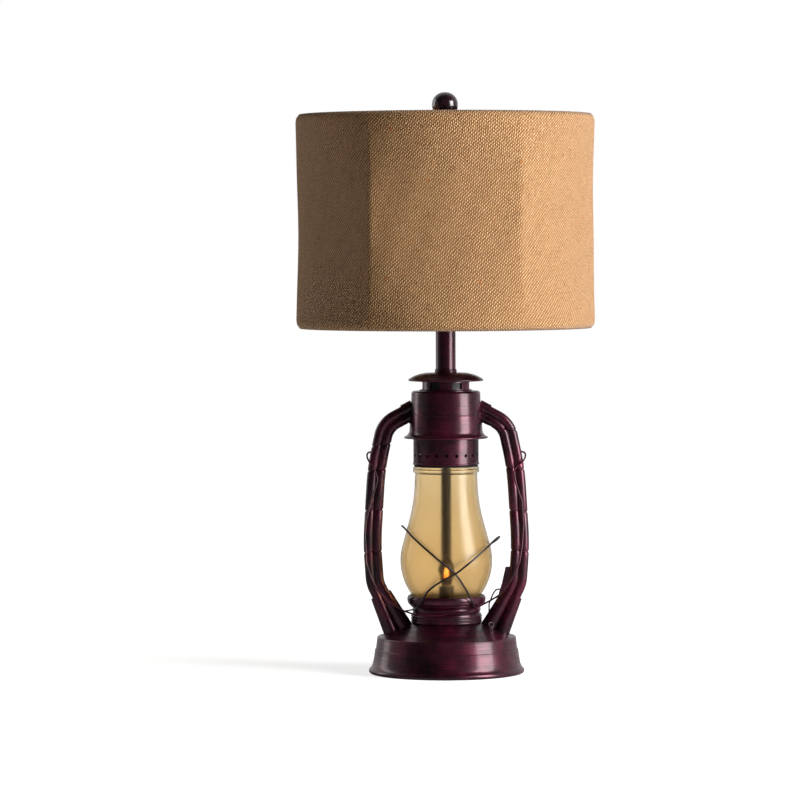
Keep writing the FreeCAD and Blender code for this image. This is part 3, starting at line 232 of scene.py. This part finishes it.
bulb_low, bulb_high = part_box("night_light_bulb")
flame_level = 0.40
flame_middle = (bulb_low + bulb_high) / 2.0
flame_middle.z = bulb_low.z + flame_level * (bulb_high.z - bulb_low.z)
flame_half_width = 0.0030
flame_half_height = 0.0065
flame_taper = 0.45
flame_rings = 14
flame_sides = 24


def lathe(name, profile, steps, middle):
    """Turn a profile of (radius, height) about an upright line through middle."""
    mesh = bpy.data.meshes.new(name)
    form = bmesh.new()
    rings = []
    for radius, height in profile:
        if radius < 1e-6:
            rings.append([form.verts.new((middle.x, middle.y, middle.z + height))])
            continue
        rings.append([form.verts.new((
            middle.x + radius * math.cos(2 * math.pi * i / steps),
            middle.y + radius * math.sin(2 * math.pi * i / steps),
            middle.z + height)) for i in range(steps)])
    for low, high in zip(rings, rings[1:]):
        for i in range(steps):
            corners = [low[i % len(low)], low[(i + 1) % len(low)],
                       high[(i + 1) % len(high)], high[i % len(high)]]
            corners = list(dict.fromkeys(corners))
            if len(corners) > 2:
                form.faces.new(corners)
    bmesh.ops.recalc_face_normals(form, faces=form.faces)
    form.to_mesh(mesh)
    form.free()
    for face in mesh.polygons:
        face.use_smooth = True
    piece = bpy.data.objects.new(name, mesh)
    bpy.context.scene.collection.objects.link(piece)
    return piece


flame_profile = []
for i in range(flame_rings + 1):
    turn = math.pi * i / flame_rings
    narrow = 1.0 - flame_taper * i / flame_rings
    flame_profile.append((flame_half_width * math.sin(turn) * narrow,
                          -flame_half_height * math.cos(turn)))
flame = lathe("night_flame", flame_profile, flame_sides, flame_middle)
glow = Finish("flame_glow", Emission_Strength=1.9)
flame_low = (1.0, 0.33, 0.04)
flame_tip = (1.0, 0.55, 0.14)
flame_spot = glow.node("ShaderNodeSeparateXYZ", ("Vector", glow.place(kind="Generated")))
flame_colour = glow.ramp(flame_spot.outputs["Z"], (0.1, flame_low), (0.8, flame_tip))
glow.drive("Base Color", flame_colour)
glow.drive("Emission Color", flame_colour)
flame.data.materials.append(glow.material)
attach(flame, "lamp")

# ------------------------------------------------------------------ chimney
# Spun and stamped parts stacked on the pipe: a band with a row of air holes, the drum
# with its flared skirt, the vent collar over a black flue, and the shallow cap.
dress(turned_paint, "perforated_band", "chimney_drum", "vent_collar", "chimney_cap")

soot = Finish("soot_black", Roughness=0.55, Metallic=0.3)
soot_marks = soot.noise(soot.place(), 120.0, 5.0)
soot.drive("Base Color", soot.ramp(soot_marks, (0.3, (0.006, 0.006, 0.007)),
                                   (0.8, (0.028, 0.027, 0.030))))
soot.bump(soot_marks, 0.00008)
dress(soot.material, "inner_flue", "globe_plate")

# ------------------------------------------------------------------ neck
# A short painted tube covers the pipe between the cap and the harp. It stands in a
# stepped ferrule and ends in a turned cap.
dress(drawn_paint, "neck_tube")
dress(turned_paint, "neck_ferrule", "neck_cap")

# ------------------------------------------------------------------ side tubes
# Pressed tubes with a valley down their fronts. Narrow creases are pressed across them
# where the dies bent them, a little askew and about 50 mm apart.
dress(drawn_paint, "tube_flange_left", "tube_flange_right", "tube_foot_left",
      "tube_foot_right", "lever_guide")
crease_depth = 0.0010
crease_half_width = 0.0019
crease_cuts = 5


def creased(name, creases):
    """A tube with creases pressed in, each given by its height and its slope."""
    mesh = nodes[name].data.copy()
    form = bmesh.new()
    form.from_mesh(mesh)
    bmesh.ops.remove_doubles(form, verts=form.verts, dist=1e-6)
    low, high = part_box(name)
    for height, slope in creases:
        across = Vector((slope, 0.0, 1.0)).normalized()
        spot = Vector(((low.x + high.x) / 2.0, 0.0, height))
        for i in range(-crease_cuts, crease_cuts + 1):
            everything = form.verts[:] + form.edges[:] + form.faces[:]
            bmesh.ops.bisect_plane(form, geom=everything, dist=1e-6, plane_no=across,
                                   plane_co=spot + across * crease_half_width * i / crease_cuts)
        near = [corner for corner in form.verts
                if abs((corner.co - spot).dot(across)) < crease_half_width * 1.01]
        middle = sum((corner.co for corner in near), Vector()) / len(near)
        for corner in near:
            along = (corner.co - spot).dot(across) / crease_half_width
            inward = middle - corner.co
            inward.z = 0.0
            corner.co += inward.normalized() * crease_depth * (1.0 + math.cos(math.pi * along)) / 2
    form.to_mesh(mesh)
    form.free()
    for face in mesh.polygons:
        face.use_smooth = True
    mesh.set_sharp_from_angle(angle=math.radians(38.0))
    mesh.materials.clear()
    mesh.materials.append(drawn_paint)
    tube = bpy.data.objects.new(name + "_creased", mesh)
    bpy.context.scene.collection.objects.link(tube)
    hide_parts(name)
    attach(tube, "lamp")


creased("side_tube_left", [(0.150, -0.10), (0.201, -0.06), (0.251, -0.12), (0.281, -0.15)])
creased("side_tube_right", [(0.151, 0.08), (0.200, 0.10), (0.252, 0.08), (0.300, 0.14)])

# ------------------------------------------------------------------ wires
# Drawn wire, painted like the rest: the guard round the glass, its eyes, the small
# lever at the right foot, and the bail that hangs by its hooked ends.
wire_paint = oxblood_paint("oxblood_wire", (160.0, 160.0, 160.0))
black_wire = Finish("black_wire", Metallic=0.4, Coat_Weight=0.25, Coat_Roughness=0.2)
wear = black_wire.noise(black_wire.place(), 140.0, 5.0)
black_wire.drive("Base Color", black_wire.ramp(wear, (0.4, (0.006, 0.004, 0.006)),
                                               (0.75, (0.040, 0.008, 0.016))))
black_wire.drive("Roughness", black_wire.ramp(wear, (0.3, 0.30), (0.7, 0.45)))
black_wire.bump(wear, 0.00004)
dress(black_wire.material, "guard_wire_a", "guard_wire_b", "guard_eyelets")
dress(wire_paint, "guard_tie", "lever_eye", "lift_lever", "bail_handle")

# ------------------------------------------------------------------ harp and socket
# A nickel-plated harp on a saddle carries the shade. It goes round a brass lamp socket
# with a turn switch, a fibre liner and a frosted bulb.
nickel = plated_steel("nickel_plate", (0.66, 0.62, 0.56), (300.0, 300.0, 30.0))
dress(nickel, "harp", "harp_saddle", "harp_stud", "harp_sleeve_left",
      "harp_sleeve_right", "shade_spider")

fibre = Finish("fibre_liner", Roughness=0.85)
fibre_specks = fibre.noise(fibre.place(), 500.0, 5.0)
fibre.drive("Base Color", fibre.ramp(fibre_specks, (0.3, (0.05, 0.035, 0.024)),
                                     (0.8, (0.12, 0.09, 0.06))))
dress(fibre.material, "socket_liner")

frosted = Finish("frosted_glass", Roughness=0.42, Transmission_Weight=0.35)
frosting = frosted.noise(frosted.place(), 240.0, 4.0)
frosted.drive("Base Color", frosted.ramp(frosting, (0.3, (0.80, 0.79, 0.75)),
                                         (0.7, (0.88, 0.87, 0.84))))
frosted.bump(frosting, 0.00003)
dress(frosted.material, "main_bulb")

# ------------------------------------------------------------------ shade frame
# White enamelled wire: two rings and six upright wires, welded together. The upper
# ring hangs on the spider's arms.
enamel = Finish("white_enamel", Roughness=0.35)
chips = enamel.noise(enamel.place(), 200.0, 5.0)
enamel.drive("Base Color", enamel.ramp(chips, (0.25, (0.52, 0.48, 0.40)),
                                       (0.5, (0.74, 0.71, 0.64))))
enamel.bump(chips, 0.00005)
dress(enamel.material, "shade_ribs", "shade_ring_top", "shade_ring_bottom")

# ------------------------------------------------------------------ burlap cover
# One width of open burlap, pulled round the wires and turned in over both rings. It
# follows the rings at its edges and pulls nearly flat from wire to wire between them.
cover_low, cover_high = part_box("shade_cover")
cover_height = cover_high.z - cover_low.z
cover_radius = 0.1832
cloth_thickness = 0.0013
wire_count = 6
wire_waist = 0.0026     # how far the upright wires lean in at half height
cloth_pull = 0.50       # 1 would be flat from wire to wire
pull_ease = 0.6
held_edge = 0.03        # the share of the height in which the rings keep the cloth round
edge_rounding = 0.0032
rounded_share = 0.045
ripples = ((0.0005, 9.0, 5.0), (0.0003, 23.0, -11.0))    # depth, waves round, lean
hem_turn = 0.013
hem_depth = 1.2 * cloth_thickness + 0.0034    # the cloth and a ring's wire
hem_lean = 0.0006
fold_height = 0.002
fold_depth = 0.0016
around_steps = 288
up_steps = 56


def cloth_reach(angle, level, depth):
    """How far the cloth stands from the axis, at an angle and a level from 0 to 1."""
    step = 2 * math.pi / wire_count
    from_wire = (angle % step) / step
    flat = 1.0 - math.cos(step / 2.0)
    inside = min(max((level - held_edge) / (1.0 - 2.0 * held_edge), 0.0), 1.0)
    pull = cloth_pull * math.sin(math.pi * inside) ** pull_ease
    sag = flat * pull * (1.0 - (2.0 * from_wire - 1.0) ** 2)
    swell = math.sin(math.pi * level)
    ripple = sum(deep * math.sin(waves * angle + lean * level) for deep, waves, lean in ripples)
    from_edge = min(level, 1.0 - level)
    rounding = edge_rounding * max(1.0 - from_edge / rounded_share, 0.0) ** 2
    return cover_radius * (1.0 - sag) + (ripple - wire_waist) * swell - rounding - depth


def burlap_cover():
    """The cloth: up the outside, over each ring, and a turned-in hem."""
    form = bmesh.new()
    threads = form.loops.layers.uv.new("threads")
    rows = [(0.0, cover_low.z + hem_turn, hem_depth),
            (0.0, cover_low.z + fold_height, hem_depth - hem_lean),
            (0.0, cover_low.z, fold_depth)]
    for i in range(1, up_steps):
        level = i / up_steps
        rows.append((level, cover_low.z + cover_height * level, 0.0))
    rows += [(1.0, cover_high.z, fold_depth),
             (1.0, cover_high.z - fold_height, hem_depth - hem_lean),
             (1.0, cover_high.z - hem_turn, hem_depth)]
    grid = []
    for level, height, depth in rows:
        ring = []
        for j in range(around_steps):
            angle = 2 * math.pi * j / around_steps
            reach = cloth_reach(angle, level, depth)
            ring.append(form.verts.new((reach * math.cos(angle),
                                        reach * math.sin(angle), height)))
        grid.append(ring)
    run = 0.0
    arc = 2 * math.pi * cover_radius / around_steps
    for low, high in zip(grid, grid[1:]):
        rise = (low[0].co - high[0].co).length
        for j in range(around_steps):
            following = (j + 1) % around_steps
            face = form.faces.new((low[j], low[following], high[following], high[j]))
            face.smooth = True
            spots = ((j * arc, run), ((j + 1) * arc, run),
                     ((j + 1) * arc, run + rise), (j * arc, run + rise))
            for loop, spot in zip(face.loops, spots):
                loop[threads].uv = spot
        run += rise
    mesh = bpy.data.meshes.new("burlap_cover")
    form.to_mesh(mesh)
    form.free()
    piece = bpy.data.objects.new("burlap_cover", mesh)
    bpy.context.scene.collection.objects.link(piece)
    thick = piece.modifiers.new("cloth", "SOLIDIFY")
    thick.thickness = cloth_thickness
    thick.offset = -1.0
    return piece, run


cover, cut_height = burlap_cover()

burlap = Finish("burlap", Roughness=0.9, Sheen_Weight=0.25, Sheen_Roughness=0.5,
                Specular_IOR_Level=0.15)
warp_pitch = 0.00230
weft_pitch = 0.00200
warp_slant = 0.125
thread_wander = 0.0024
lift_one_way = 0.32
lift_other_way = 0.18
weft_share = 0.3
cloth_spot = burlap.node("ShaderNodeUVMap", uv_map="threads").outputs[0]
wander = burlap.node("ShaderNodeTexNoise", ("Vector", cloth_spot), ("Scale", 110.0),
                     ("Detail", 4.0))
shift = burlap.node("ShaderNodeVectorMath", (0, wander.outputs["Color"]),
                    ("Scale", thread_wander), operation="SCALE")
warped = burlap.node("ShaderNodeVectorMath", (0, cloth_spot), (1, shift.outputs[0]),
                     operation="ADD")
parts = burlap.node("ShaderNodeSeparateXYZ", ("Vector", warped.outputs[0]))
along_x = burlap.maths("ADD", parts.outputs["X"],
                       burlap.maths("MULTIPLY", parts.outputs["Y"], warp_slant))
warp_turn = burlap.maths("MULTIPLY", along_x, math.pi / warp_pitch)
weft_turn = burlap.maths("MULTIPLY", parts.outputs["Y"], math.pi / weft_pitch)
# each crossing lifts one thread and sinks the other, a little more one way on the bias
rising = burlap.maths("COSINE", burlap.maths("SUBTRACT", warp_turn, weft_turn))
falling = burlap.maths("COSINE", burlap.maths("ADD", warp_turn, weft_turn))
lift = burlap.maths("SUBTRACT", burlap.maths("MULTIPLY", rising, lift_one_way),
                    burlap.maths("MULTIPLY", falling, lift_other_way))
over = burlap.maths("ADD", 0.5, lift)
under = burlap.maths("SUBTRACT", 1.0, over)
warp = burlap.maths("ABSOLUTE", burlap.maths("SINE", warp_turn))
weft = burlap.maths("ABSOLUTE", burlap.maths("SINE", weft_turn))
weft_crown = burlap.maths("MULTIPLY", burlap.maths("MULTIPLY", weft, under), weft_share)
crown = burlap.maths("MAXIMUM", burlap.maths("MULTIPLY", warp, over), weft_crown)


def thread_tone(across, along):
    """Tone that changes from thread to thread and slowly along each."""
    spot = burlap.node("ShaderNodeMapping", ("Vector", warped.outputs[0]),
                       ("Scale", (across, along, 1.0)))
    return burlap.noise(spot.outputs[0], 1.0, 3.0)


tone = burlap.mix(0.5, thread_tone(460.0, 60.0), thread_tone(60.0, 480.0))
tone = burlap.mix(0.45, tone, thread_tone(420.0, 420.0))
BURLAP_DARK = (0.38, 0.185, 0.065)
BURLAP = (0.88, 0.53, 0.255)
BURLAP_PALE = (0.98, 0.71, 0.42)
# painted shade: the dark brown that the gaps between the threads are darkened to
GAP_SHADE = (0.08, 0.038, 0.018)
yarn = burlap.ramp(tone, (0.30, BURLAP_DARK), (0.50, BURLAP), (0.70, BURLAP_PALE))
blotches = burlap.ramp(burlap.noise(cloth_spot, 70.0, 5.0), (0.3, 0.93), (0.7, 1.0))
# Painted shade: where the crown is low, between the threads and on the sunk ones, the colour is
# darkened to brown as if in shade.
gap_shade = burlap.ramp(crown, (0.04, GAP_SHADE), (0.30, (0.50, 0.42, 0.36)), (0.70, (1, 1, 1)))
cloth_colour_and_gap_shade = burlap.mix(1.0, burlap.mix(1.0, yarn, gap_shade, "MULTIPLY"), blotches,
                          "MULTIPLY")
slub_spot = burlap.node("ShaderNodeMapping", ("Vector", cloth_spot), ("Scale", (30, 24, 1)))
slubs = burlap.node("ShaderNodeTexVoronoi", ("Vector", slub_spot.outputs[0]), ("Scale", 1.0))
fleck = burlap.ramp(slubs.outputs["Distance"], (0.03, 1.0), (0.075, 0.0))
burlap.drive("Base Color", burlap.mix(fleck, cloth_colour_and_gap_shade, (0.45, 0.14, 0.035)))
burlap.bump(crown, 0.0009, 0.9)
cover.data.materials.append(burlap.material)
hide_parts("shade_cover")
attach(cover, "shade")

# ------------------------------------------------------------------ finial
# A turned steel knob with a glossy enamelled ball on it. It is screwed down on the
# harp's stud and holds the spider there.
ball_gloss = Finish("finial_gloss", Coat_Weight=0.8, Coat_Roughness=0.06, Metallic=0.2,
                    Roughness=0.24)
depth_tone = ball_gloss.noise(ball_gloss.place(), 90.0, 4.0)
ball_gloss.drive("Base Color", ball_gloss.ramp(depth_tone, (0.35, (0.010, 0.005, 0.008)),
                                               (0.7, (0.045, 0.008, 0.018))))
ball_gloss.bump(depth_tone, 0.00003)
dress(ball_gloss.material, "finial")

# ------------------------------------------------------------------ studio
# A white floor and background; the floor is painted a little greyer round the lamp, a painted
# shade. The key is a tall soft box to the right; a weak cool fill stands to the left, and another
# light touches the left edge from behind.
floor_half = 6.0
floor_drop = 0.0003
floor_mesh = bpy.data.meshes.new("floor")
floor_mesh.from_pydata([(-floor_half, -floor_half, 0), (floor_half, -floor_half, 0),
                        (floor_half, floor_half, 0), (-floor_half, floor_half, 0)],
                       [], [(0, 1, 2, 3)])
floor = bpy.data.objects.new("floor", floor_mesh)
floor.location.z = -floor_drop
bpy.context.scene.collection.objects.link(floor)
paper = Finish("white_paper", Roughness=0.9, Specular_IOR_Level=0.1)
paper_tone = paper.noise(paper.place(), 3.0, 2.0)
paper.drive("Base Color", paper.ramp(paper_tone, (0.3, (0.80, 0.80, 0.80)),
                                     (0.7, (0.84, 0.84, 0.84))))
paper.drive("Emission Color", paper.ramp(paper_tone, (0.3, 0.99), (0.7, 1.0)))
rays = paper.node("ShaderNodeLightPath")
looked_at = paper.maths("MAXIMUM", rays.outputs["Is Camera Ray"],
                        rays.outputs["Is Transmission Ray"])
# Painted shade: the floor's glow for the camera is weaker near the lamp, so the floor reads greyer
# round its foot.
from_lamp = paper.node("ShaderNodeVectorMath", (0, paper.place()), operation="LENGTH")
floor_glow_with_painted_shade = paper.node("ShaderNodeMapRange", ("Value", from_lamp.outputs["Value"]),
                    ("From Min", 0.3), ("From Max", 1.6), ("To Min", 0.74), ("To Max", 1.0))
paper.drive("Emission Strength", paper.maths("MULTIPLY", looked_at, floor_glow_with_painted_shade.outputs["Result"]))
floor.data.materials.append(paper.material)

world = bpy.data.worlds.new("studio")
bpy.context.scene.world = world
world.use_nodes = True
air = world.node_tree
air.nodes.clear()
air_rays = add_node(air, "ShaderNodeLightPath")
seen = add_node(air, "ShaderNodeMath", (0, air_rays.outputs["Is Camera Ray"]),
                (1, air_rays.outputs["Is Transmission Ray"]), operation="MAXIMUM")
direction = add_node(air, "ShaderNodeTexCoord")
behind = add_node(air, "ShaderNodeSeparateXYZ", (0, direction.outputs["Generated"]))
facing = add_node(air, "ShaderNodeMapRange", ("Value", behind.outputs["Y"]), ("From Min", -0.1),
                  ("From Max", 0.5), ("To Max", 0.6))
mirrored = add_node(air, "ShaderNodeMath", (0, air_rays.outputs["Is Glossy Ray"]),
                    (1, facing.outputs["Result"]), operation="MULTIPLY")
share = add_node(air, "ShaderNodeMath", (0, seen.outputs[0]), (1, mirrored.outputs[0]),
                 operation="MAXIMUM")
room = add_node(air, "ShaderNodeBackground", ("Color", (1.0, 0.99, 0.98, 1.0)), ("Strength", 0.04))
backdrop = add_node(air, "ShaderNodeBackground", ("Color", (1.0, 1.0, 1.0, 1.0)))
either = add_node(air, "ShaderNodeMixShader", (0, share.outputs[0]), (1, room.outputs[0]),
                  (2, backdrop.outputs[0]))
add_node(air, "ShaderNodeOutputWorld", ("Surface", either.outputs[0]))

aim_height = 0.36


def soft_box(name, around, distance, height, width, tall, power, colour):
    """A soft box at an angle round the lamp, counted from the front towards the right."""
    data = bpy.data.lights.new(name, "AREA")
    data.shape = "RECTANGLE"
    data.size = width
    data.size_y = tall
    data.energy = power
    data.color = colour
    light = bpy.data.objects.new(name, data)
    turn = math.radians(around)
    light.location = (distance * math.sin(turn), -distance * math.cos(turn), height)
    way = Vector((0.0, 0.0, aim_height)) - light.location
    light.rotation_euler = way.to_track_quat("-Z", "Y").to_euler()
    bpy.context.scene.collection.objects.link(light)


soft_box("key", around=64.0, distance=2.6, height=0.9, width=1.4, tall=2.2,
         power=136.0, colour=(1.0, 0.99, 0.97))
soft_box("fill", around=-80.0, distance=3.0, height=0.8, width=1.6, tall=2.0,
         power=2.5, colour=(0.95, 0.97, 1.0))
soft_box("edge", around=-115.0, distance=2.6, height=1.0, width=0.8, tall=2.0,
         power=13.0, colour=(1.0, 0.99, 0.98))

# ------------------------------------------------------------------ camera
# It stands about five metres off at three quarters of the lamp's height, aimed a little
# down and to the left, so that the lamp stands right of the middle.
picture_side = 800.0
focal_pixels = 4100.0
camera_distance = 5.02
camera_height = 0.537
horizon_row = 235.0
axis_column = 445.3
camera_data = bpy.data.cameras.new("camera")
camera_data.sensor_width = 36.0
camera_data.lens = focal_pixels / picture_side * camera_data.sensor_width
camera_data.clip_end = 50.0
camera = bpy.data.objects.new("camera", camera_data)
camera.location = (0.0, -camera_distance, camera_height)
tilt = math.atan((picture_side / 2 - horizon_row) / focal_pixels)
yaw = math.atan((axis_column - picture_side / 2) / focal_pixels)
roll = math.radians(0.2)
camera.rotation_euler = (math.pi / 2 - tilt, roll, yaw)
bpy.context.scene.collection.objects.link(camera)
bpy.context.scene.camera = camera
bpy.context.scene.view_settings.view_transform = "Standard"
